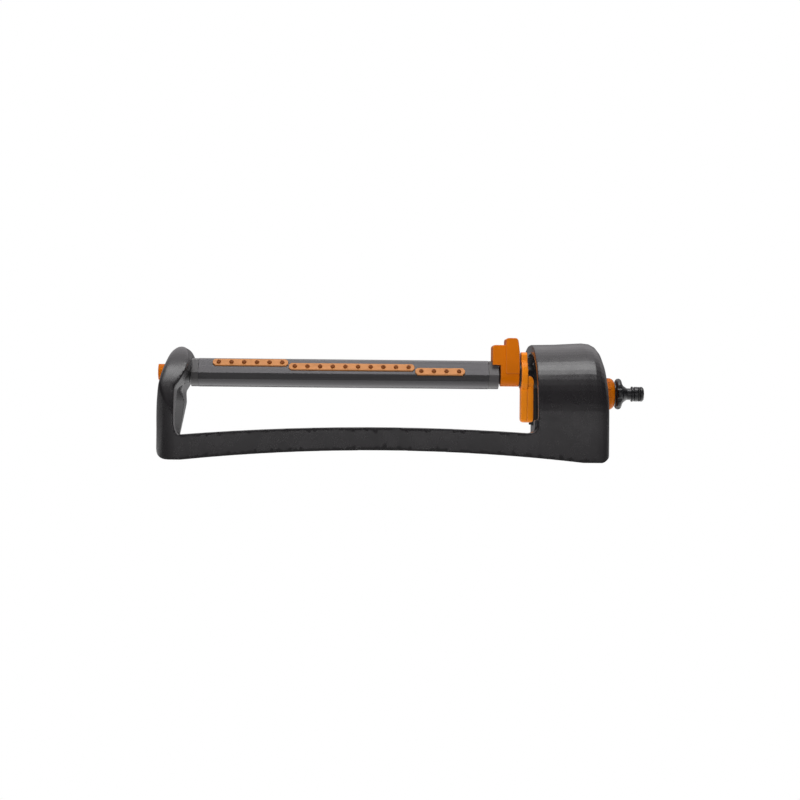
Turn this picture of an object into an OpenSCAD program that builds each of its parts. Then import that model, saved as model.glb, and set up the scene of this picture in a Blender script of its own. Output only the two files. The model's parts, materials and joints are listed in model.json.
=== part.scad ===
// Oscillating lawn sprinkler: a moulded base with a hoop at one end and a domed
// motor housing at the other, and a spray bar with twenty nozzles swinging between them.
// X runs along the spray bar, towards the hose inlet. Y runs from front to back.
// The origin is on the ground, at the centre of the whole sprinkler's box.

/* [Base] */
// Half of the base's width, across the spray bar
half_w = 95; // [90:1:105]
// Width of each ground rail, seen from above
rail_w = 19; // [16:1:22]
// Height of the left hoop's top above the ground
hoop_top = 123; // [121:0.5:124]
// Height of the motor housing's top above the ground
housing_top = 128.5; // [126:0.5:130]
// Wall thickness of the moulded shells
wall = 3; // [2.5:0.5:4]

/* [Spray bar] */
// Height of the spray bar's axis above the ground
axis_z = 93; // [92:1:94]
// Outer radius of the spray bar's tube
bar_r = 15.4; // [15:0.2:15.6]
// Distance between neighbouring nozzles
pitch = 13.58; // [13:0.01:13.7]
// Tilt of the bar at rest, from nozzles straight up towards the front
bar_tilt = 58; // [40:1:60]

/* [Drive] */
// Module of the drive's gears
gear_m = 0.8; // [0.8:0.01:0.82]

/* [Hose inlet] */
// Radius of the hose nipple's barrel
nipple_r = 8; // [7.8:0.1:8.4]
// Radius of the water passage through the nipple
nipple_bore_r = 4.5; // [4:0.5:5]

/* [Hidden] */
$fn = 64;

// Stations along X
left_x = -257.6;
hoop_in_x = -238.4;
hood_in_x = -225.5;
housing_x = 138;
right_x = 212.5;
first_nozzle_x = -197.3;
big_teeth = 36;
small_teeth = 12;
tube_x0 = -219;
tube_x1 = 93;
cap_x0 = -228;
cap_x1 = 104;
plug_x = -262.2;
nipple_x = 262.2;
neck_r = 6.3;
gear_dist = gear_m * (big_teeth + small_teeth) / 2;
inlet_z = axis_z - gear_dist;
pin_r = 1.5;
running = 0.05;
shaft_r = 8.5;
hub_r = 11.5;
bush_x = -228.8;
clip_x = 127.1;
lever_x = 128.4;
lever_t = 6.6;
lever_w = 8;
lever_long = 51;
lever_short = 25;
eye_r = 14.5;
eye_t = 3.2;
front_lever_x = lever_x + lever_t + 0.2;

charcoal = "#3c3a3c";
orange = "#d2761a";
black = "#1c1c1e";

// A profile drawn in (y, z), extruded from x0 to x1
module along_x(x0, x1) {
    translate([x0, 0, 0]) rotate([90, 0, 90]) linear_extrude(x1 - x0) children();
}
// A profile drawn in (x, z), extruded from y0 to y1
module along_y(y0, y1) {
    translate([0, y1, 0]) rotate([90, 0, 0]) linear_extrude(y1 - y0) children();
}
module rod(x0, x1, r, z = axis_z, y = 0) {
    translate([x0, y, z]) rotate([0, 90, 0]) cylinder(h = x1 - x0, r = r);
}
module tube(x0, x1, r, bore, z = axis_z) {
    difference() {
        rod(x0, x1, r, z);
        rod(x0 - 1, x1 + 1, bore, z);
    }
}
module ring_x(x, big, small, z = axis_z) {
    translate([x, 0, z]) rotate([0, 90, 0])
        rotate_extrude() translate([big, 0]) circle(r = small, $fn = 24);
}

// Half-width of a domed section at height z: straight up to the shoulder, then rounded
function power(v, e) = (v <= 0) ? 0 : pow(v, e);
function dome_points(a, top, shoulder, e, n = 40) = concat(
    [[-a, 0]],
    [for (i = [0 : n])
        let (t = 180 * i / n, c = cos(t), s = sin(t))
        [-a * sign(c) * power(abs(c), 2 / e), shoulder + (top - shoulder) * power(s, 2 / e)]],
    [[a, 0]]);

// A skin through equal-length (y, z) sections, each [x, points], closed at both ends
module loft(sections) {
    m = len(sections[0][1]);
    k = len(sections);
    points = [for (s = sections) for (p = s[1]) [s[0], p[0], p[1]]];
    sides = [for (i = [0 : k - 2]) for (j = [0 : m - 1])
        let (a = i * m + j, b = i * m + (j + 1) % m)
        each [[a, b, b + m], [a, b + m, a + m]]];
    ends = [[for (j = [m - 1 : -1 : 0]) j], [for (j = [0 : m - 1]) (k - 1) * m + j]];
    polyhedron(points = points, faces = concat(sides, ends), convexity = 6);
}

// Ground rails -------------------------------------------------------------

rail_top_r = 2390;
rail_bottom_r = 1930;
rail_top_z = 35.1;
rail_bottom_z = 11.2;
rail_mid_x = -23;

// The rails' side view: both edges arch up slightly between the two ends
module rail_band(inset = 0) {
    intersection() {
        translate([left_x - 5, -1]) square([housing_x - left_x + 5, 50]);
        translate([rail_mid_x, rail_top_z - inset - rail_top_r])
            circle(r = rail_top_r, $fn = 720);
        difference() {
            translate([left_x - 5, -1 + (inset > 0 ? -5 : 1)])
                square([housing_x - left_x + 5, 60]);
            if (inset == 0) translate([rail_mid_x, rail_bottom_z - rail_bottom_r])
                circle(r = rail_bottom_r, $fn = 720);
        }
    }
}

// The left end's side view, from the foot up to the hood over the bearing
function bezier(p, t) = len(p) == 1 ? p[0]
    : bezier([for (i = [0 : len(p) - 2]) p[i] * (1 - t) + p[i + 1] * t], t);
function curve(p, n = 8) = [for (i = [0 : n]) bezier(p, i / n)];
// Inner edge of the front leg, which runs into its rail in a curve, and of the slimmer back leg
front_edge = concat(curve([[hoop_in_x, 42], [hoop_in_x, 22], [hoop_in_x + 11, 25.5]], 6),
    [[hoop_in_x + 11, 4]]);
back_edge = [[hoop_in_x, 62], [hoop_in_x - 2.6, 50], [hoop_in_x - 7.4, 26], [hoop_in_x - 7.4, 4]];
foot_corner = curve([[left_x + 14, 0], [left_x, 0], [left_x, 14]], 8);
module hoop_side(inner_edge) {
    polygon(concat(
        foot_corner,
        curve([[left_x, 36], [left_x, 76], [-254, 90], [-249, 104]], 8),
        curve([[-249, 104], [-244.5, hoop_top + 0.5], [-229, hoop_top + 2.5], [-226, 108]], 12),
        curve([[-226, 108], [-224, 96], [-230, 86], [hoop_in_x, 74]], 8),
        inner_edge, [[left_x + 16, 0]]));
}
module hoop_end() {
    difference() {
        polygon(dome_points(half_w, hoop_top, 34, 2.05));
        polygon(dome_points(half_w - rail_w, 78.5, 24, 2.1));
        translate([-half_w + rail_w, -1]) square([2 * (half_w - rail_w), 30]);
    }
}
// The front rail sweeps up into the housing's rim, behind a thinner outer skin
sweep_skin = 4;
module sweep(y0, y1, size, rim_x, rim_z) {
    along_y(y0, y1) polygon(concat(
        curve([[rim_x - size, 30.6], [rim_x - 0.3, 30.6], [rim_x, 30.6 + size]], 8),
        [[rim_x, rim_z], [housing_x + 4, rim_z], [housing_x + 4, 20], [rim_x - size, 20]]));
}

module base_frame() color(charcoal) difference() {
    union() {
        intersection() {
            union() {
                along_y(-half_w, half_w / 2) hoop_side(front_edge);
                along_y(half_w / 2, half_w) hoop_side(back_edge);
            }
            along_x(left_x - 1, hood_in_x + 4) hoop_end();
            plan_block();
        }
        for (s = [-1, 1]) intersection() {
            translate([0, s * (half_w - rail_w / 2), 0])
                along_y(-rail_w / 2, rail_w / 2) rail_band();
            union() {
                translate([left_x + plan_corner, -half_w, 0])
                    cube([housing_x - left_x - plan_corner, 2 * half_w, 60]);
                intersection() {
                    plan_block();
                    along_y(-half_w, half_w) polygon(concat(foot_corner,
                        [[left_x, 60], [left_x + 60, 60], [left_x + 60, 0]]));
                }
            }
        }
        intersection() {
            union() {
                sweep(-half_w, sweep_skin - half_w, 10, housing_x + 0.01, 50);
                sweep(sweep_skin - half_w, rail_w - half_w, 6, housing_x - 3.5, 44);
            }
            translate([left_x, -half_w, 0]) cube([housing_x - left_x, half_w, 60]);
        }
    }
    // Hollow undersides of the two rails
    for (s = [-1, 1]) translate([0, s * (half_w - rail_w / 2), 0])
        along_y(-rail_w / 2 + wall, rail_w / 2 - wall) intersection() {
            rail_band(wall + 0.5);
            translate([hoop_in_x + 8, -10]) square([housing_x - 2 * wall - hoop_in_x - 8, 60]);
        }
    // Seat of the end bush, and room for the bar's end beside it
    rod(left_x - 10, hood_in_x + 10, 11.5);
    rod(bush_x, hood_in_x + 10, bar_r + 1);
}
// Rounded outline of the base seen from above
plan_corner = 24;
module plan_block() {
    linear_extrude(150) {
        translate([left_x, -half_w + plan_corner]) square([60, 2 * (half_w - plan_corner)]);
        translate([left_x + plan_corner, -half_w]) square([60, 2 * half_w]);
        for (s = [-1, 1]) translate([left_x + plan_corner, s * (half_w - plan_corner)])
            circle(r = plan_corner);
    }
}

// Motor housing ------------------------------------------------------------

// Sections of the domed housing from x0 on; inset shrinks the shape evenly for the inside
function housing_sections(inset = 0, x0 = housing_x) =
    let (w = half_w - inset, t = housing_top - inset)
    [for (q = [
        [x0 + inset, 1, -2.7],
        [right_x - 50, 1, -2.1],
        [right_x - 31, 1, -1],
        [right_x - 20, 1, -0.4],
        [right_x - 13, 0.995, -1.2],
        [right_x - 8, 0.985, -3.8],
        [right_x - 4, 0.97, -9],
        [right_x - 1.3, 0.945, -17],
        [right_x, 0.915, -26]])
        [q[0] - inset, dome_points(w * q[1], t + q[2], 44, dome_e)]];

dome_e = 2.35;
cover_z = 7;
cover_x = [housing_x + 22, right_x - 24];
screw_y = 76;
hollow_x = housing_x + 12;
plate_x = housing_x + 9;
plate_screw_at = [for (s = [-1, 1], p = [[73, 50], [71, 75]]) [s * p[0], p[1]]];

// Blocks inside the housing that the screws bite into
module housing_bosses() {
    for (x = cover_x, s = [-1, 1])
        translate([x - 5, s > 0 ? 68 : -98, cover_z + 13]) cube([10, 30, 12]);
    for (p = plate_screw_at)
        translate([hollow_x - 1, p[0] > 0 ? 66 : -98, p[1] - 4.5]) cube([9, 32, 9]);
}
module housing_shell() color(charcoal) difference() {
    loft(housing_sections());
    // Hollow inside, behind the recessed face
    difference() {
        loft(housing_sections(wall, hollow_x));
        housing_bosses();
        // Low wall under the face plate
        translate([hollow_x - 1, -half_w, cover_z + 3]) cube([wall + 1, 2 * half_w, 37]);
    }
    translate([hollow_x, 0, -1]) linear_extrude(3)
        translate([0, -half_w + wall]) square([right_x - hollow_x - 14, 2 * (half_w - wall)]);
    // Recess in the left face, with a lip all round
    along_x(housing_x - 5, hollow_x + 1)
        polygon([for (p = dome_points(half_w - 9, housing_top - 12, 44, dome_e))
            [p[0], max(p[1], 40)]]);
    // Below the face plate the recess stays open between the rails, down to the ground
    translate([housing_x - 5, rail_w - half_w, -1])
        cube([hollow_x - housing_x + 5, 2 * (half_w - rail_w), 45]);
    // The back rim sweeps away from the rail
    along_y(half_w - rail_w - 1, half_w + 1) polygon(concat(
        [[housing_x - 1, 30.6]],
        curve([[hollow_x - 2, 29.6], [hollow_x, 29.6], [hollow_x, 34]], 4),
        curve([[hollow_x, 44], [hollow_x - 1, 58], [housing_x, 82]], 6),
        [[housing_x - 1, 82]]));
    // The bottom edge carries on the arch of the rails
    along_y(-half_w - 1, half_w + 1) translate([rail_mid_x, rail_bottom_z - rail_bottom_r])
        circle(r = rail_bottom_r, $fn = 720);
    // Rounded foot at the far end
    along_y(-half_w - 1, half_w + 1) polygon(concat([[right_x + 2, -2]],
        curve([[right_x + 2, 12], [right_x - 0.5, 0], [right_x - 12, -1]], 6),
        [[right_x - 12, -2]]));
    // Way in for the hose
    rod(right_x - 20, right_x + 5, 16, inlet_z);
    for (x = cover_x, s = [-1, 1])
        translate([x, s * screw_y, cover_z]) cylinder(h = 22, r = 1.6);
    for (p = plate_screw_at) rod(hollow_x - 2, hollow_x + 6.5, 1.5, p[1], p[0]);
}

module bottom_cover() color(charcoal) difference() {
    union() {
        translate([hollow_x + 0.5, -half_w + wall + 2.5, cover_z])
            cube([right_x - hollow_x - 13, 2 * (half_w - wall - 2.5), 2.5]);
        for (x = cover_x, s = [-1, 1])
            translate([x, s * screw_y, cover_z]) cylinder(h = 12.9, r = 5);
    }
    for (x = cover_x, s = [-1, 1]) {
        translate([x, s * screw_y, cover_z - 1]) cylinder(h = 20, r = 1.7);
        translate([x, s * screw_y, cover_z - 1]) cylinder(h = 3, r = 3.4);
    }
}
module screw(length, r, head_r) {
    difference() {
        union() {
            cylinder(h = length, r = r);
            cylinder(h = 2, r = head_r);
        }
        translate([-head_r, -0.4, -1]) cube([2 * head_r, 0.8, 1.8]);
        translate([-0.4, -head_r, -1]) cube([0.8, 2 * head_r, 1.8]);
    }
}
module cover_screws() color("silver")
    for (x = cover_x, s = [-1, 1])
        translate([x, s * screw_y, cover_z - 0.4]) screw(21, 1.6, 3.2);

// Plate at the bottom of the recess, which carries the drive bush
module face_plate() color(black) difference() {
    along_x(plate_x, plate_x + 3)
        polygon([for (p = dome_points(half_w - 9.2, housing_top - 12.2, 44, dome_e))
            [p[0], max(p[1], 40.2)]]);
    rod(plate_x - 1, plate_x + 4, hub_r);
    for (p = plate_screw_at) rod(plate_x - 1, plate_x + 4, 1.6, p[1], p[0]);
}
module plate_screws() color("silver")
    for (p = plate_screw_at)
        translate([plate_x - 2, p[0], p[1]]) rotate([0, 90, 0]) screw(10.5, 1.5, 3);

// Bearings -----------------------------------------------------------------

journal_r = 8;
module end_bush() color(black) tube(-251, bush_x, 11.5, journal_r + running);
// The drive bush carries the shaft, and its long hub carries the two range levers
module drive_bush() color(black) difference() {
    union() {
        rod(clip_x, plate_x + 3, hub_r);
        rod(front_lever_x + lever_t + 0.5, plate_x, 14);
    }
    rod(clip_x - 1, plate_x + 6, shaft_r + running);
}

// Spray bar ----------------------------------------------------------------

module tilted() translate([0, 0, axis_z]) rotate([bar_tilt, 0, 0]) translate([0, 0, -axis_z])
    children();
flat_h = bar_r * 0.815;
// Section of the bar: round, with a broad flat for the nozzles and a bevel beside it
module bar_section(r = bar_r, flat = flat_h) {
    intersection() {
        circle(r = r, $fn = 128);
        translate([-r, -r]) square([2 * r, r + flat]);
        rotate(46) translate([-r, -r]) square([2 * r, 2 * r - 0.5]);
        rotate(-46) translate([-r, -r]) square([2 * r, 2 * r - 0.5]);
    }
}
module bar_prism(x0, x1, r = bar_r, flat = flat_h)
    translate([0, 0, axis_z]) along_x(x0, x1) bar_section(r, flat);

strip_offset = 4.7;
function strip_x(first, count) = [first_nozzle_x + (first - 0.5) * pitch,
    first_nozzle_x + (first + count - 0.5) * pitch];
STRIPS = [[0, 6, strip_offset], [6, 10, 0], [16, 4, -strip_offset]];
strip_w = 8.2;

// Pocket or body of one strip, in the untilted bar
module strip_shape(s, grow, z0, z1) {
    x = strip_x(s[0], s[1]);
    gap = 0.4 - grow;
    w = strip_w / 2 + grow;
    translate([0, s[2], z0]) linear_extrude(z1 - z0) polygon([
        [x[0] + gap, -w + 2.4], [x[0] + gap + 2.4, -w], [x[1] - gap - 2.4, -w],
        [x[1] - gap, -w + 2.4], [x[1] - gap, w - 2.4], [x[1] - gap - 2.4, w],
        [x[0] + gap + 2.4, w], [x[0] + gap, w - 2.4]]);
}
module bar_tube() color(charcoal) tilted() difference() {
    bar_prism(tube_x0, tube_x1);
    rod(tube_x0 - 1, tube_x1 + 1, 8.5);
    // Pockets for the strips, with a shadow gap along the lower edge
    for (s = STRIPS, lower = [0, 0.9]) translate([0, -lower, 0])
        strip_shape(s, 0.1, axis_z + flat_h - 1.5, axis_z + flat_h + 4);
    for (s = STRIPS, i = [s[0] : s[0] + s[1] - 1])
        translate([first_nozzle_x + i * pitch, s[2], axis_z + 4]) cylinder(h = 12, r = 1.7);
}
module strip(s) color("#d9a066") tilted() difference() {
    strip_shape(s, 0, axis_z + flat_h - 1.4, axis_z + flat_h + 1.1);
    for (i = [s[0] : s[0] + s[1] - 1])
        translate([first_nozzle_x + i * pitch, s[2], axis_z + flat_h - 3])
            cylinder(h = 8, r = 1.2);
}
module nozzle_strip_left() strip(STRIPS[0]);
module nozzle_strip_middle() strip(STRIPS[1]);
module nozzle_strip_right() strip(STRIPS[2]);
// Twenty jet tubes, one in each nozzle, each with a conical head on the strip
module nozzle_jets() color("#a85a1c") tilted()
    for (s = STRIPS, i = [s[0] : s[0] + s[1] - 1])
        translate([first_nozzle_x + i * pitch, s[2], axis_z + flat_h - 2.6]) difference() {
            union() {
                cylinder(h = 5, r = 1.2);
                translate([0, 0, 3.75]) cylinder(h = 1.5, r1 = 2.5, r2 = 1.7);
            }
            translate([0, 0, -1]) cylinder(h = 8, r = 0.5);
        }
module left_end_cap() color(charcoal) tilted() difference() {
    union() {
        bar_prism(cap_x0 + 1, tube_x0 - 0.05, bar_r - 0.2, flat_h - 0.2);
        rod(-254, cap_x0 + 2, journal_r);
        rod(tube_x0 - 1, tube_x0 + 9, 8.4);
    }
    rod(-270, tube_x0 + 10, 5.5);
}
module right_end_cap() color(charcoal) tilted() difference() {
    union() {
        bar_prism(tube_x1 + 0.05, cap_x1, bar_r - 0.2, flat_h - 0.2);
        rod(tube_x1 - 9, tube_x1 + 1, 8.4);
    }
    rod(tube_x1 - 10, cap_x1 + 1, 6);
}
gear_x = 156;
module drive_shaft() color(black) difference() {
    union() {
        rod(cap_x1 + 0.05, clip_x + 1, 7.5);
        rod(clip_x, 155.5, shaft_r);
        rod(155.5, 161.5, 5);
    }
    rod(cap_x1 - 1, 158, 4);
}
module shaft_seals() color("#111111") {
    ring_x(cap_x1 + 0.95, 8.4, 0.85);
    ring_x(plate_x + 4.2, shaft_r + 0.9, 0.85);
}

// Gears --------------------------------------------------------------------

pressure = 25;
function inv(a) = tan(a) * 180 / PI - a;
// One flank point of an involute at radius r, as an angle from the tooth's centre
function tooth_half(n, m, r, backlash) =
    let (rp = n * m / 2, rb = rp * cos(pressure), a = acos(min(1, rb / r)))
    90 / n - backlash / rp * 90 / PI + inv(pressure) - inv(a);
function tooth(n, m, i, backlash) =
    let (rp = n * m / 2, rb = rp * cos(pressure), rt = rp + 0.8 * m, rr = rp - 1.05 * m,
        r0 = max(rb, rr), c = 360 * i / n,
        rs = [for (k = [0 : 4]) r0 + (rt - r0) * k / 4])
    concat(
        [let (h = tooth_half(n, m, r0, backlash)) [rr * cos(c - h), rr * sin(c - h)]],
        [for (r = rs) let (h = tooth_half(n, m, r, backlash)) [r * cos(c - h), r * sin(c - h)]],
        [for (k = [4 : -1 : 0]) let (r = rs[k], h = tooth_half(n, m, r, backlash))
            [r * cos(c + h), r * sin(c + h)]],
        [let (h = tooth_half(n, m, r0, backlash)) [rr * cos(c + h), rr * sin(c + h)]]);
// A spur gear from x0 to x1, turned by turn degrees
module gear(n, x0, x1, z, turn = 0, backlash = 0.22)
    translate([0, 0, z]) along_x(x0, x1) rotate(turn)
        polygon([for (i = [0 : n - 1]) each tooth(n, gear_m, i, backlash)]);
// A tooth of each upper gear points down, into a gap of the lower gear
half_tooth = 180 / small_teeth;
module output_gear() color("ivory") difference() {
    union() {
        gear(big_teeth, gear_x, gear_x + 5, axis_z, -90);
        rod(gear_x + 5, gear_x + 5.5, 7);
    }
    rod(gear_x - 1, gear_x + 7, 5);
}
module compound(x, z, turn_small, turn_big, x_end) difference() {
    union() {
        gear(small_teeth, x, x + 7, z, turn_small);
        gear(big_teeth, x + 8, x + 12, z, turn_big);
        rod(x + 6, x_end, 3.4, z);
    }
    rod(x - 1, x_end + 1, pin_r + running, z);
}
module second_gear() color("ivory")
    compound(gear_x - 1, inlet_z, 90 + half_tooth, 90 + 180 / big_teeth, gear_x + 11.5);
module first_gear() color("ivory")
    compound(gear_x + 7, axis_z, -90, -90, gear_x + 19.5);
module turbine_wheel() color("ivory") difference() {
    union() {
        gear(small_teeth, gear_x + 14, gear_x + 20, inlet_z, 90 + half_tooth);
        rod(gear_x + 19, gear_x + 28, 3.4, inlet_z);
        rod(gear_x + 27, gear_x + 37, 6, inlet_z);
        rod(gear_x + 27, gear_x + 28.5, 19, inlet_z);
        for (i = [0 : 11]) translate([0, 0, inlet_z]) rotate([30 * i, 0, 0])
            translate([gear_x + 28, -0.8, 5]) cube([8, 1.6, 15]);
    }
    rod(gear_x + 13, gear_x + 38, pin_r + running, inlet_z);
}
module gear_axles() color("silver") {
    rod(gear_x - 3, gear_x + 41, pin_r, inlet_z);
    rod(gear_x + 6.2, gear_x + 22.5, pin_r);
}

// Stadium-shaped outline around both gear shafts
module stadium(r) {
    translate([0, axis_z]) circle(r = r);
    translate([0, inlet_z]) circle(r = r);
    translate([-r, inlet_z]) square([2 * r, axis_z - inlet_z]);
}
module gear_case() color("#555555") difference() {
    along_x(gear_x - 3.5, gear_x + 21) stadium(19);
    along_x(gear_x - 1.5, gear_x + 22) stadium(17);
    rod(gear_x - 5, gear_x, shaft_r + 0.4);
    rod(gear_x - 5, gear_x, pin_r, inlet_z);
}
module gear_cover() color("#555555") difference() {
    along_x(gear_x + 21, gear_x + 23) stadium(21);
    rod(gear_x + 20, gear_x + 24, 3.8, inlet_z);
    rod(gear_x + 20, gear_x + 24, pin_r);
}
module turbine_case() color("#555555") difference() {
    union() {
        rod(gear_x + 23, gear_x + 41, 24, inlet_z);
        rod(gear_x + 41, right_x + 3, 12, inlet_z);
    }
    rod(gear_x + 22, gear_x + 38.5, 22, inlet_z);
    rod(gear_x + 40, right_x + 4, 9, inlet_z);
    rod(gear_x + 37, gear_x + 42, pin_r, inlet_z);
    for (i = [0 : 2]) translate([0, 0, inlet_z]) rotate([120 * i, 0, 0])
        translate([gear_x + 37, 0, 6]) rotate([0, 90, 0]) cylinder(h = 5, r = 1.6);
}

// Controls -----------------------------------------------------------------

barrel_x = cap_x1 + 2;
knob_x1 = 126.2;
// Flow control: a barrel round the shaft with an upright two-step grip, which reaches
// over the end of the bar
module flow_knob() color(orange) difference() {
    union() {
        rod(barrel_x, knob_x1, 12.2);
        along_y(-12.3, 12.3) polygon(concat(
            curve([[112, 94.5], [97, 94.5], [97, 97]], 3),
            curve([[97, 122.5], [97, 125.2], [99.7, 125.2]], 3),
            [[113, 125.2], [113, 94.5]]));
        along_y(-13.8, 13.8) polygon(concat(
            curve([[113, 94.5], [111.4, 94.5], [111.4, 96]], 3),
            curve([[111.4, 130], [111.4, 132.8], [114.4, 132.8]], 4),
            curve([[121.5, 132.8], [124.6, 132.8], [125, 128]], 4),
            [[knob_x1, 118], [knob_x1, 94.5]]));
    }
    rod(90, 130, 7.6);
    rod(90, barrel_x, bar_r + 0.5);
}
// Rectangle with rounded corners, centred on y = 0
module round_rect(half_y, z0, z1, r) {
    translate([r - half_y, z0]) square([2 * (half_y - r), z1 - z0]);
    translate([-half_y, z0 + r]) square([2 * half_y, z1 - z0 - 2 * r]);
    for (y = [r - half_y, half_y - r], z = [z0 + r, z1 - r]) translate([y, z]) circle(r = r);
}
// Rear range lever: a straight bar across the hub, with a seat for the front lever's eye
module rear_range_lever() color(orange) difference() {
    union() {
        along_x(lever_x, lever_x + lever_t)
            round_rect(lever_w, axis_z - lever_long, axis_z + lever_short, 5);
        rod(lever_x, lever_x + lever_t, eye_r + 3);
    }
    rod(lever_x - 1, lever_x + lever_t + 1, hub_r + running);
    rod(lever_x + lever_t - eye_t - 0.2, lever_x + lever_t + 1, eye_r + 0.3);
    rounded_toe(lever_x, 1);
}
// What is cut off a lever's lower corner at x; side is 1 for a left corner, -1 for a right one
module rounded_toe(x, side) {
    z = axis_z - lever_long;
    along_y(-half_w, half_w) polygon(concat([[x - side, z + 4]],
        curve([[x, z + 4], [x, z], [x + 4 * side, z]], 6),
        [[x + 4 * side, z - 1], [x - side, z - 1]]));
}
// Front range lever: it hangs from a saddle under the hub, held by an eye in the rear lever
module front_range_lever() color(orange) difference() {
    union() {
        rod(front_lever_x - eye_t - 0.2, front_lever_x + 0.4, eye_r);
        along_x(front_lever_x, front_lever_x + lever_t) intersection() {
            union() {
                round_rect(lever_w, axis_z - lever_long, axis_z + 5, 5);
                translate([0, axis_z]) circle(r = eye_r + 1);
            }
            translate([-half_w, 0]) square([2 * half_w, axis_z - 1]);
        }
    }
    rod(lever_x, front_lever_x + lever_t + 1, hub_r + running);
    rounded_toe(front_lever_x + lever_t, -1);
    // Rounded shoulder
    along_y(-half_w, half_w) polygon(concat([[front_lever_x + lever_t + 1, axis_z]],
        curve([[front_lever_x + 0.6, axis_z - 1], [front_lever_x + lever_t, axis_z - 1],
            [front_lever_x + lever_t, axis_z - 10]], 6),
        [[front_lever_x + lever_t + 1, axis_z - 10]]));
}
module clip_ring() color(black) tube(clip_x, clip_x + 1, 13.5, hub_r);

// End plug -----------------------------------------------------------------

module needle_plug() color(orange) difference() {
    union() {
        rod(plug_x, plug_x + 7, 8.6);
        rod(plug_x + 6, -232, 5.1);
    }
    // Coin slot and finger flats
    translate([plug_x - 1, -8, axis_z - 0.9]) cube([3, 16, 1.8]);
    for (i = [0 : 11]) translate([0, 0, axis_z]) rotate([30 * i, 0, 0])
        translate([plug_x - 1, 0, 9.2]) rotate([0, 90, 0]) cylinder(h = 5, r = 1.1);
    rod(-250, -231, 1);
}
module cleaning_needle() color("silver") {
    rod(-248, -206, 1);
    rod(-206, -196, 0.45);
}
module plug_seal() color("#111111") ring_x(plug_x + 7.45, 6.2, 0.45);

// Hose inlet ---------------------------------------------------------------

module inlet_seal() color("#111111") tube(right_x + 3.1, right_x + 4.7, 12, 9, inlet_z);
nut_end = 229.6;
// Twelve-sided nut, domed towards the hose, with a slot between neighbouring facets
module swivel_nut() color(orange) difference() {
    intersection() {
        translate([0, 0, inlet_z]) along_x(right_x + 0.6, nut_end)
            rotate(15) circle(r = 17.6, $fn = 12);
        translate([0, 0, inlet_z]) rotate([0, 90, 0]) rotate_extrude($fn = 96) polygon(concat(
            [[0, right_x + 0.6], [17.6, right_x + 0.6], [17.6, 222]],
            curve([[17.6, 222], [17.3, 228], [13.6, nut_end]], 5), [[0, nut_end]]));
    }
    for (i = [0 : 11]) translate([0, 0, inlet_z]) rotate([30 * i + 15, 0, 0])
        translate([right_x, -0.5, 16.6]) cube([20, 1, 3]);
    rod(right_x - 1, right_x + 5, 12.4, inlet_z);
    rod(right_x + 4, nut_end + 1, 9, inlet_z);
}
flange_x = 231.4;
flange_r = 16.8;
module hose_nipple() color(black) difference() {
    union() {
        rod(right_x + 7, flange_x, 8.95, inlet_z);
        // Collar against the nut
        rod(nut_end + 0.1, flange_x + 1, 12.4, inlet_z);
        // Rounded flange, running into the neck
        rod(flange_x, flange_x + 6.4, flange_r - 3.2, inlet_z);
        ring_x(flange_x + 3.2, flange_r - 3.2, 3.2, inlet_z);
        translate([flange_x + 6.2, 0, inlet_z]) rotate([0, 90, 0])
            cylinder(h = 2.6, r1 = flange_r - 3.6, r2 = 9);
        translate([flange_x + 8.8, 0, inlet_z]) rotate([0, 90, 0])
            cylinder(h = 4, r1 = 9, r2 = neck_r);
        rod(flange_x, 254.6, neck_r, inlet_z);
        // Shoulder, groove for the hose connector's catch, and O-ring groove
        rod(249, 250.7, nipple_r + 0.3, inlet_z);
        rod(252, 256, nipple_r, inlet_z);
        rod(255, 259, neck_r - 0.1, inlet_z);
        rod(258.4, 260.6, nipple_r, inlet_z);
        translate([260.6, 0, inlet_z]) rotate([0, 90, 0])
            cylinder(h = nipple_x - 260.6, r1 = nipple_r, r2 = nipple_r - 1.4);
    }
    // Grip scallops round the flange
    for (i = [0 : 7]) translate([0, 0, inlet_z]) rotate([45 * i + 22.5, 0, 0])
        translate([flange_x - 1, 0, flange_r + 2]) rotate([0, 90, 0]) cylinder(h = 9, r = 3.4);
    rod(right_x, nipple_x + 1, nipple_bore_r, inlet_z);
}
module nipple_seal() color("#202020") ring_x(257.2, 7.1, 0.85, inlet_z);
module inlet_filter() color("silver") difference() {
    rod(right_x + 5.2, right_x + 6.8, 8.9, inlet_z);
    for (y = [-6 : 2 : 6], z = [-6 : 2 : 6]) if (norm([y, z]) < 7.5)
        rod(right_x + 4, right_x + 8, 0.7, inlet_z + z, y);
}

base_frame();
housing_shell();
bottom_cover();
cover_screws();
face_plate();
plate_screws();
end_bush();
drive_bush();
gear_case();
gear_cover();
gear_axles();
turbine_case();
inlet_seal();
bar_tube();
left_end_cap();
right_end_cap();
nozzle_strip_left();
nozzle_strip_middle();
nozzle_strip_right();
nozzle_jets();
drive_shaft();
shaft_seals();
output_gear();
second_gear();
first_gear();
turbine_wheel();
flow_knob();
needle_plug();
cleaning_needle();
plug_seal();
rear_range_lever();
front_range_lever();
swivel_nut();
hose_nipple();
nipple_seal();
inlet_filter();
clip_ring();
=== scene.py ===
import json
import math

import bpy
import numpy as np
from mathutils import Matrix, Vector
from mathutils.bvhtree import BVHTree


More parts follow.
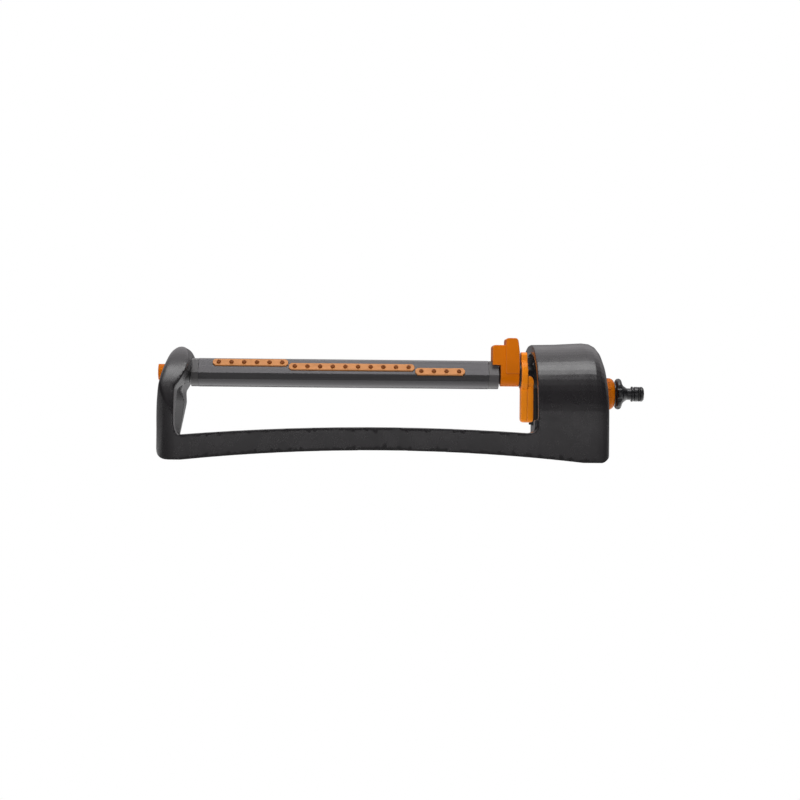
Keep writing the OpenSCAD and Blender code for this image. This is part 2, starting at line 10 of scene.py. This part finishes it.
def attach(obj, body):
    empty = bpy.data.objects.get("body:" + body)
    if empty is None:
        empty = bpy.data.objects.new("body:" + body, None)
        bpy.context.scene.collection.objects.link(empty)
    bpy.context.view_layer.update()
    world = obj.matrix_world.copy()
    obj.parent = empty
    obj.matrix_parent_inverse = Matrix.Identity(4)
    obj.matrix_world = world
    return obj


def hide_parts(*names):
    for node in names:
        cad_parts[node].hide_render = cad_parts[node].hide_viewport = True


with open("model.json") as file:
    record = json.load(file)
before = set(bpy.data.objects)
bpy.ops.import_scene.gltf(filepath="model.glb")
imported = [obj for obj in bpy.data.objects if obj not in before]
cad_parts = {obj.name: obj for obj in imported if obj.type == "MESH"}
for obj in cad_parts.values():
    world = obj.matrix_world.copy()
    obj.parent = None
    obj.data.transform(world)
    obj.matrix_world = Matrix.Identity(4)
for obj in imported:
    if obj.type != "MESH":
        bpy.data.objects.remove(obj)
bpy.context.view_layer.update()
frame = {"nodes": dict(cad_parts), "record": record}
scene = bpy.context.scene
MM = 0.001

CAMERA_AT = Vector((-0.0777, -2.0, 0.028))
CAMERA_AIM = Vector((-0.0021, 0.0, 0.0651))
CAMERA_ROLL = math.radians(0.5)
CAMERA_LENS = 83.3
FLOOR_SIZE = 14
FLOOR_GLOW = 2.0        # emission strength where the floor's ramp is 1
COLOR_A, COLOR_B = 6, 7  # a Mix node's colour inputs
WELD_DISTANCE = 1e-6
BEVEL_FROM = math.radians(40)


# Studio ---------------------------------------------------------------------

def make_camera():
    data = bpy.data.cameras.new("camera")
    data.lens = CAMERA_LENS
    data.sensor_width = 36.0
    cam = bpy.data.objects.new("camera", data)
    scene.collection.objects.link(cam)
    look = (CAMERA_AIM - CAMERA_AT).to_track_quat("-Z", "Y")
    roll = Matrix.Rotation(CAMERA_ROLL, 4, "Z")
    cam.matrix_world = Matrix.Translation(CAMERA_AT) @ look.to_matrix().to_4x4() @ roll
    scene.camera = cam


def ramp(tree, stops, at):
    """A colour ramp of faintly warm greys, with stops of (position, value)."""
    node = tree.nodes.new("ShaderNodeValToRGB")
    for i, (place, value) in enumerate(stops):
        element = node.color_ramp.elements[i] if i < 2 else node.color_ramp.elements.new(place)
        element.position = place
        element.color = (value, 0.965 * value, 0.99 * value, 1)
    tree.links.new(at, node.inputs["Fac"])
    return node.outputs["Color"]


def make_world():
    """White backdrop; for light, a bright top and a darker room in front and at the sides."""
    world = bpy.data.worlds.new("studio")
    world.use_nodes = True
    tree = world.node_tree
    back = tree.nodes["Background"]
    coords = tree.nodes.new("ShaderNodeTexCoord")
    split = tree.nodes.new("ShaderNodeSeparateXYZ")
    tree.links.new(coords.outputs["Generated"], split.inputs["Vector"])
    height = ramp(tree, [(0.0, 1.25), (0.07, 1.1), (0.18, 0.08), (0.55, 0.06), (0.8, 0.35),
                         (0.93, 0.9), (1.0, 1.2)], split.outputs["Z"])
    aside = tree.nodes.new("ShaderNodeMath")
    aside.operation = "ABSOLUTE"
    tree.links.new(split.outputs["X"], aside.inputs[0])
    fall = tree.nodes.new("ShaderNodeMapRange")
    for key, number in (("From Min", 0.3), ("From Max", 0.85), ("To Min", 1.0),
                        ("To Max", 0.12)):
        fall.inputs[key].default_value = number
    tree.links.new(aside.outputs[0], fall.inputs["Value"])
    dim = tree.nodes.new("ShaderNodeVectorMath")
    dim.operation = "SCALE"
    tree.links.new(height, dim.inputs[0])
    tree.links.new(fall.outputs["Result"], dim.inputs["Scale"])
    depth = tree.nodes.new("ShaderNodeMapRange")
    depth.inputs["From Min"].default_value = 0.0
    depth.inputs["From Max"].default_value = 0.5
    tree.links.new(split.outputs["Y"], depth.inputs["Value"])
    mix = tree.nodes.new("ShaderNodeMix")
    mix.data_type = "RGBA"
    tree.links.new(depth.outputs["Result"], mix.inputs["Factor"])
    tree.links.new(dim.outputs[0], mix.inputs[COLOR_A])
    behind = ramp(tree, [(0.0, 0.3), (0.25, 0.3), (0.55, 1.0), (1.0, 1.2)],
                  split.outputs["Z"])
    tree.links.new(behind, mix.inputs[COLOR_B])
    tree.links.new(mix.outputs[2], back.inputs["Color"])
    white = tree.nodes.new("ShaderNodeBackground")
    path = tree.nodes.new("ShaderNodeLightPath")
    choose = tree.nodes.new("ShaderNodeMixShader")
    tree.links.new(path.outputs["Is Camera Ray"], choose.inputs["Fac"])
    tree.links.new(back.outputs["Background"], choose.inputs[1])
    tree.links.new(white.outputs["Background"], choose.inputs[2])
    white.inputs["Color"].default_value = (1, 1, 1, 1)
    tree.links.new(choose.outputs["Shader"], tree.nodes["World Output"].inputs["Surface"])
    scene.world = world
    scene.view_settings.view_transform = "Standard"


def make_floor():
    """A light table: bright under the object and behind it, dim far in front, and pure
    white to the camera."""
    bpy.ops.mesh.primitive_plane_add(size=FLOOR_SIZE, location=(0, 0, 0))
    floor = bpy.context.object
    floor.name = "floor"
    mat = bpy.data.materials.new("floor")
    mat.use_nodes = True
    tree = mat.node_tree
    shader = tree.nodes["Principled BSDF"]
    shader.inputs["Base Color"].default_value = (0.2, 0.2, 0.2, 1)
    shader.inputs["Roughness"].default_value = 1.0
    shader.inputs["Specular IOR Level"].default_value = 0.0
    shader.inputs["Emission Color"].default_value = (1, 1, 1, 1)
    split = tree.nodes.new("ShaderNodeSeparateXYZ")
    tree.links.new(tree.nodes.new("ShaderNodeTexCoord").outputs["Object"], split.inputs[0])
    along = tree.nodes.new("ShaderNodeMapRange")
    along.inputs["From Min"].default_value = -1.0
    along.inputs["From Max"].default_value = 1.0
    tree.links.new(split.outputs["Y"], along.inputs["Value"])
    glow = ramp(tree, [(0.0, 0.45), (0.2, 0.4), (0.36, 0.05), (0.45, 0.03), (0.495, 0.6),
                       (0.51, 0.9), (0.55, 0.9), (0.62, 0.15)], along.outputs["Result"])
    bright = tree.nodes.new("ShaderNodeMath")
    bright.operation = "MULTIPLY"
    tree.links.new(glow, bright.inputs[0])
    bright.inputs[1].default_value = FLOOR_GLOW
    tree.links.new(bright.outputs[0], shader.inputs["Emission Strength"])
    white = tree.nodes.new("ShaderNodeEmission")
    choose = tree.nodes.new("ShaderNodeMixShader")
    path = tree.nodes.new("ShaderNodeLightPath")
    tree.links.new(path.outputs["Is Camera Ray"], choose.inputs["Fac"])
    tree.links.new(shader.outputs["BSDF"], choose.inputs[1])
    tree.links.new(white.outputs["Emission"], choose.inputs[2])
    tree.links.new(choose.outputs["Shader"], tree.nodes["Material Output"].inputs["Surface"])
    floor.data.materials.append(mat)


def area_light(name, place, aim, size, energy, mirrored=True):
    data = bpy.data.lights.new(name, "AREA")
    data.energy = energy
    data.shape = "RECTANGLE"
    data.size, data.size_y = size
    lamp = bpy.data.objects.new(name, data)
    scene.collection.objects.link(lamp)
    lamp.visible_glossy = mirrored
    direction = (Vector(aim) - Vector(place)).to_track_quat("-Z", "Y")
    lamp.matrix_world = Matrix.Translation(place) @ direction.to_matrix().to_4x4()


# Materials --------------------------------------------------------------------

class Finish:
    """A Principled material whose colour, roughness and relief come from layers of noise."""

    def __init__(self, name, color, rough, **sockets):
        self.mat = bpy.data.materials.new(name)
        self.mat.use_nodes = True
        self.tree = self.mat.node_tree
        self.shader = self.tree.nodes["Principled BSDF"]
        self.color = color
        self.rough = rough
        for key, value in sockets.items():
            self.shader.inputs[key.replace("_", " ")].default_value = value
        self.place = self.tree.nodes.new("ShaderNodeTexCoord").outputs["Object"]

    def link(self, a, b):
        self.tree.links.new(a, b)

    def stretch(self, scale):
        node = self.tree.nodes.new("ShaderNodeVectorMath")
        node.operation = "MULTIPLY"
        node.inputs[1].default_value = scale
        self.link(self.place, node.inputs[0])
        return node.outputs[0]

    def noise(self, scale, detail=2.0, stretch=None):
        node = self.tree.nodes.new("ShaderNodeTexNoise")
        node.inputs["Scale"].default_value = scale
        node.inputs["Detail"].default_value = detail
        self.link(self.stretch(stretch) if stretch else self.place, node.inputs["Vector"])
        return node.outputs["Fac"]

    def spread(self, value, low, high, start=0.3, stop=0.7):
        node = self.tree.nodes.new("ShaderNodeMapRange")
        for key, number in (("From Min", start), ("From Max", stop),
                            ("To Min", low), ("To Max", high)):
            node.inputs[key].default_value = number
        self.link(value, node.inputs["Value"])
        return node.outputs["Result"]

    def blend(self, factor, a, b):
        node = self.tree.nodes.new("ShaderNodeMix")
        node.data_type = "RGBA"
        self.link(factor, node.inputs["Factor"])
        for value, socket in ((a, node.inputs[COLOR_A]), (b, node.inputs[COLOR_B])):
            if isinstance(value, bpy.types.NodeSocket):
                self.link(value, socket)
            else:
                socket.default_value = (*value, 1)
        return node.outputs[2]

    def tint(self, noise, amount, edge=0.0):
        """Colour drifts by amount over the surface, and is lighter by edge on convex edges:
        partly rubbed wear, partly a painted edge highlight.
        """
        low = tuple(c * (1 - amount) for c in self.color)
        high = tuple(min(1, c * (1 + amount)) for c in self.color)
        color = self.blend(self.spread(noise, 0, 1), low, high)
        if edge:
            # Pointiness lightens convex edges: partly rubbed wear, partly painted highlight.
            point = self.tree.nodes.new("ShaderNodeNewGeometry").outputs["Pointiness"]
            worn_and_highlit = tuple(min(1, c + edge * (1 - c)) for c in self.color)
            color = self.blend(self.spread(point, 0, 1, 0.53, 0.62), color, worn_and_highlit)
        self.link(color, self.shader.inputs["Base Color"])
        return self

    def gloss(self, noise, drift):
        low, high = self.rough - drift, self.rough + drift
        self.link(self.spread(noise, low, high), self.shader.inputs["Roughness"])
        return self

    def relief(self, *layers):
        """Bumps, each (noise, height in metres), stacked."""
        normal = None
        for noise, height in layers:
            bump = self.tree.nodes.new("ShaderNodeBump")
            bump.inputs["Strength"].default_value = 1.0
            bump.inputs["Distance"].default_value = height
            self.link(noise, bump.inputs["Height"])
            if normal:
                self.link(normal, bump.inputs["Normal"])
            normal = bump.outputs["Normal"]
        self.link(normal, self.shader.inputs["Normal"])
        return self


def moulded_plastic(name, color, rough, drift=0.04, grain=0.004 * MM, edge=0.02, **sockets):
    """Spark-eroded moulding: fine grain, slow drift of tone, and convex edges made lighter,
    partly as rubbing and partly as painted highlight.
    """
    f = Finish(name, color, rough, **sockets)
    f.tint(f.noise(22, 4), 0.10, edge)
    f.gloss(f.noise(70, 5), drift)
    return f.relief((f.noise(1500, 2), grain), (f.noise(45, 3), 8 * grain)).mat


def make_materials():
    m = {}
    m["charcoal_plastic"] = moulded_plastic("charcoal_plastic", (0.0115, 0.0105, 0.0115), 0.28)
    # Painted shade: a darker copy of the charcoal plastic, without reflection, that stands in
    # for the shade inside the recess.
    m["recess_plastic"] = moulded_plastic("recess_plastic", (0.006, 0.006, 0.006), 0.7,
                                          Specular_IOR_Level=0.0)
    m["black_plastic"] = moulded_plastic("black_plastic", (0.008, 0.008, 0.009), 0.30)
    m["grey_plastic"] = moulded_plastic("grey_plastic", (0.08, 0.08, 0.09), 0.5)
    m["bar_cap"] = moulded_plastic("bar_cap", (0.05, 0.047, 0.048), 0.3)
    m["orange_plastic"] = moulded_plastic("orange_plastic", (0.52, 0.125, 0.0), 0.42,
                                          grain=0.008 * MM, edge=0.10,
                                          Specular_IOR_Level=0.08)
    # Painted light: a brighter copy of the orange plastic for the levers, which sit in the
    # housing's shade; the knob keeps the plain orange.
    m["painted_light_lever_orange"] = moulded_plastic("painted_light_lever_orange", (0.78, 0.225, 0.006), 0.36,
                                        grain=0.008 * MM, edge=0.12,
                                        Specular_IOR_Level=0.15)
    m["gear_nylon"] = moulded_plastic("gear_nylon", (0.75, 0.72, 0.64), 0.4, edge=0.1)

    f = Finish("seal_rubber", (0.012, 0.012, 0.012), 0.6)
    f.tint(f.noise(60, 3), 0.2).gloss(f.noise(160, 3), 0.08)
    m["seal_rubber"] = f.relief((f.noise(900, 2), 0.03 * MM)).mat

    f = Finish("steel", (0.56, 0.56, 0.57), 0.3, Metallic=1.0)
    f.tint(f.noise(80, 3), 0.08).gloss(f.noise(300, 3), 0.08)
    m["steel"] = f.relief((f.noise(700, 2, (0.05, 1, 1)), 0.02 * MM)).mat

    # Drawn and anodised tube: fine lines along X in tone, gloss and relief
    f = Finish("bar_anodised", (0.075, 0.073, 0.076), 0.25, Metallic=0.8)
    lines = f.noise(1200, 3, (0.006, 1, 1))
    f.tint(lines, 0.12, 0.03).gloss(f.noise(500, 4, (0.01, 1, 1)), 0.05)
    m["bar_anodised"] = f.relief((lines, 0.006 * MM), (f.noise(1800, 1), 0.006 * MM)).mat

    f = Finish("strip_orange", (0.50, 0.212, 0.074), 0.5, Specular_IOR_Level=0.25)
    f.tint(f.noise(90, 3), 0.08, 0.05).gloss(f.noise(200, 3), 0.06)
    m["strip_orange"] = f.relief((f.noise(1600, 2), 0.02 * MM)).mat
    # Painted shade: the jets are a darker copy of the strips' orange, standing in for the
    # shade in the nozzle holes.
    f = Finish("jet_orange", (0.17, 0.045, 0.005), 0.5, Specular_IOR_Level=0.2)
    f.tint(f.noise(150, 3), 0.12)
    m["jet_orange"] = f.relief((f.noise(1600, 2), 0.02 * MM)).mat
    return m


# Pieces -------------------------------------------------------------------------

def paint(obj, mat):
    if not obj.data.materials:
        obj.data.materials.append(mat)
    for slot in obj.material_slots:
        slot.link = "OBJECT"
        slot.material = mat


def baked(obj, name):
    """A new object that holds obj's mesh with its modifiers applied; obj is removed."""
    view = bpy.context.evaluated_depsgraph_get()
    mesh = bpy.data.meshes.new_from_object(obj.evaluated_get(view))
    mesh.name = name
    bpy.data.objects.remove(obj)
    made = bpy.data.objects.new(name, mesh)
    scene.collection.objects.link(made)
    return made


def relax(mesh, passes, weight=None, step=0.5):
    """Rounds edges: each pass moves every point by step towards its neighbours' mean."""
    n = len(mesh.vertices)
    co = np.empty(3 * n)
    mesh.vertices.foreach_get("co", co)
    co = co.reshape(n, 3)
    edges = np.empty(2 * len(mesh.edges), dtype=np.int64)
    mesh.edges.foreach_get("vertices", edges)
    a, b = edges.reshape(-1, 2).T
    count = np.bincount(a, minlength=n) + np.bincount(b, minlength=n)
    pull = step if weight is None else step * weight(co)[:, None]
    for _ in range(passes):
        mean = np.stack([np.bincount(a, co[b, k], n) + np.bincount(b, co[a, k], n)
                         for k in range(3)], axis=1) / count[:, None]
        co = co + pull * (mean - co)
    mesh.vertices.foreach_set("co", co.ravel())
    mesh.update()


def settle(mesh, surface, near=0.35 * MM, far=0.8 * MM):
    """Puts points that have hardly moved back on the surface, so only edges stay round."""
    for v in mesh.vertices:
        spot, _, _, distance = surface.find_nearest(v.co)
        back = min(1.0, max(0.0, (far - distance) / (far - near)))
        v.co = v.co.lerp(spot, back)
    mesh.update()


def joined_copy(name, nodes):
    """One loose mesh with the meshes of several CAD nodes in it."""
    parts = [frame["nodes"][n].data for n in nodes]
    points, faces, start = [], [], 0
    for part in parts:
        points += [v.co.copy() for v in part.vertices]
        faces += [[start + i for i in p.vertices] for p in part.polygons]
        start += len(part.vertices)
    mesh = bpy.data.meshes.new(name)
    mesh.from_pydata(points, [], faces)
    return mesh


def moulding(name, nodes, body, material, voxel, passes, extra=None, painted_light_copy=None,
             keep=1.0):
    """A piece with the shape of CAD nodes and with every edge rounded, as moulded."""
    mesh = joined_copy(name, nodes)
    surface = BVHTree.FromPolygons([v.co for v in mesh.vertices],
                                   [p.vertices for p in mesh.polygons])
    rough = bpy.data.objects.new(name + "_rough", mesh)
    scene.collection.objects.link(rough)
    remesh = rough.modifiers.new("remesh", "REMESH")
    remesh.mode = "VOXEL"
    remesh.voxel_size = voxel
    piece = baked(rough, name)
    relax(piece.data, passes)
    settle(piece.data, surface)
    if extra:
        relax(piece.data, *extra)
    if keep < 1:
        piece.modifiers.new("thin", "DECIMATE").ratio = keep
        piece = baked(piece, name)
    piece.data.shade_smooth()
    piece.data.materials.append(MATERIALS[painted_light_copy or material])
    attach(piece, body)
    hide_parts(*nodes)
    return piece


def soften(node, width, segments=2):
    """Small round edges on a CAD node, by modifiers only."""
    weld = node.modifiers.new("weld", "WELD")
    weld.merge_threshold = WELD_DISTANCE
    bevel = node.modifiers.new("edges", "BEVEL")
    bevel.width = width
    bevel.segments = segments
    bevel.limit_method = "ANGLE"
    bevel.angle_limit = BEVEL_FROM


def left_end(co):
    """1 on the hoop at the left end, falling to 0 along the rails and down the legs."""
    return np.clip((-0.215 - co[:, 0]) / 0.02, 0, 1) * np.clip((co[:, 2] - 0.06) / 0.03, 0, 1)


make_camera()
make_world()
make_floor()
area_light("top_box", (0.15, -0.22, 1.4), (0.15, -0.2, 0), (1.3, 0.62), 11)
area_light("front_fill", (-0.3, -2.2, 0.4), (0, 0, 0.08), (1.5, 1.0), 36, mirrored=False)
MATERIALS = make_materials()

slot_of = {part["node"]: part["material_slot"] for part in frame["record"]["subparts"]}
for name, node in frame["nodes"].items():
    paint(node, MATERIALS[slot_of[name]])

moulding("base_moulding", ["base_frame", "housing_shell"], "base", "charcoal_plastic",
         1.0 * MM, 7, extra=(40, left_end), keep=0.32)
moulding("knob", ["flow_knob"], "flow_control", "orange_plastic", 0.5 * MM, 6)
# The levers take the brighter orange copy: painted light against the housing's shade over
# them.
moulding("rear_lever", ["rear_range_lever"], "rear_limit", "orange_plastic", 0.5 * MM, 4,
         painted_light_copy="painted_light_lever_orange")
moulding("front_lever", ["front_range_lever"], "front_limit", "orange_plastic", 0.5 * MM, 4,
         painted_light_copy="painted_light_lever_orange")
moulding("plug_head", ["needle_plug"], "end_plug", "orange_plastic", 0.3 * MM, 3)
moulding("nut", ["swivel_nut"], "inlet", "orange_plastic", 0.45 * MM, 4)
moulding("nipple", ["hose_nipple"], "inlet", "black_plastic", 0.4 * MM, 3)
for strip in ("nozzle_strip_left", "nozzle_strip_middle", "nozzle_strip_right"):
    moulding(strip.replace("nozzle", "jet"), [strip], "spray_bar", "strip_orange", 0.3 * MM, 3)
for name in ("bar_tube", "left_end_cap", "right_end_cap", "drive_shaft"):
    soften(frame["nodes"][name], 0.5 * MM)
